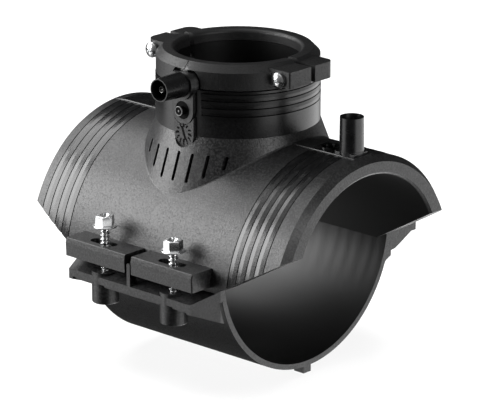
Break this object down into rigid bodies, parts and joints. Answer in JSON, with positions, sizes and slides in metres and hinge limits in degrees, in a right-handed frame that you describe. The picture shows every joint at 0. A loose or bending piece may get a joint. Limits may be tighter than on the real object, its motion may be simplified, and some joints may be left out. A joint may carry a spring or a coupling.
{
  "type": "electrofusion branch saddle",
  "caption": "Electrofusion branch saddle: half-shell on a run pipe with a screwed lower clamp, welded outlet socket with a split clamping ring, and shrouded contact terminals.",
  "frame": {"origin": "on the axis of the run pipe, straight below the centre of the outlet socket", "axes": "+X along the run pipe towards the end with the crown terminal, +Z along the outlet socket out of its mouth, -Y towards the side with the socket terminal"},
  "size_m": [0.205, 0.1951, 0.1929],
  "materials": {
    "pe_moulding": "fine eroded texture, black polyethylene",
    "ring_moulding": "satin black",
    "zinc_steel": "bright zinc plated",
    "shroud_plastic": "semi gloss black",
    "pin_metal": "tinned brass",
    "indicator_plastic": "plain",
    "heating_wire": "bare copper alloy wire",
    "crimp_metal": "tinned"
  },
  "bodies": {
    "root": {"saddle_body": "pe_moulding", "lower_clamp": "pe_moulding", "ring_half_front": "ring_moulding", "ring_half_rear": "ring_moulding", "clamp_screw_fl": "zinc_steel", "clamp_screw_fr": "zinc_steel", "clamp_screw_rl": "zinc_steel", "clamp_screw_rr": "zinc_steel", "ring_screw_right": "zinc_steel", "ring_screw_left": "zinc_steel", "ring_nut_right": "zinc_steel", "ring_nut_left": "zinc_steel", "terminal_shroud_socket": "shroud_plastic", "terminal_shroud_crown": "shroud_plastic", "contact_pin_socket": "pin_metal", "contact_pin_crown": "pin_metal", "fusion_indicator_socket": "indicator_plastic", "fusion_indicator_crown": "indicator_plastic", "socket_heating_coil": "heating_wire", "saddle_heating_coil": "heating_wire", "coil_crimp": "crimp_metal"}
  },
  "joints": []
}
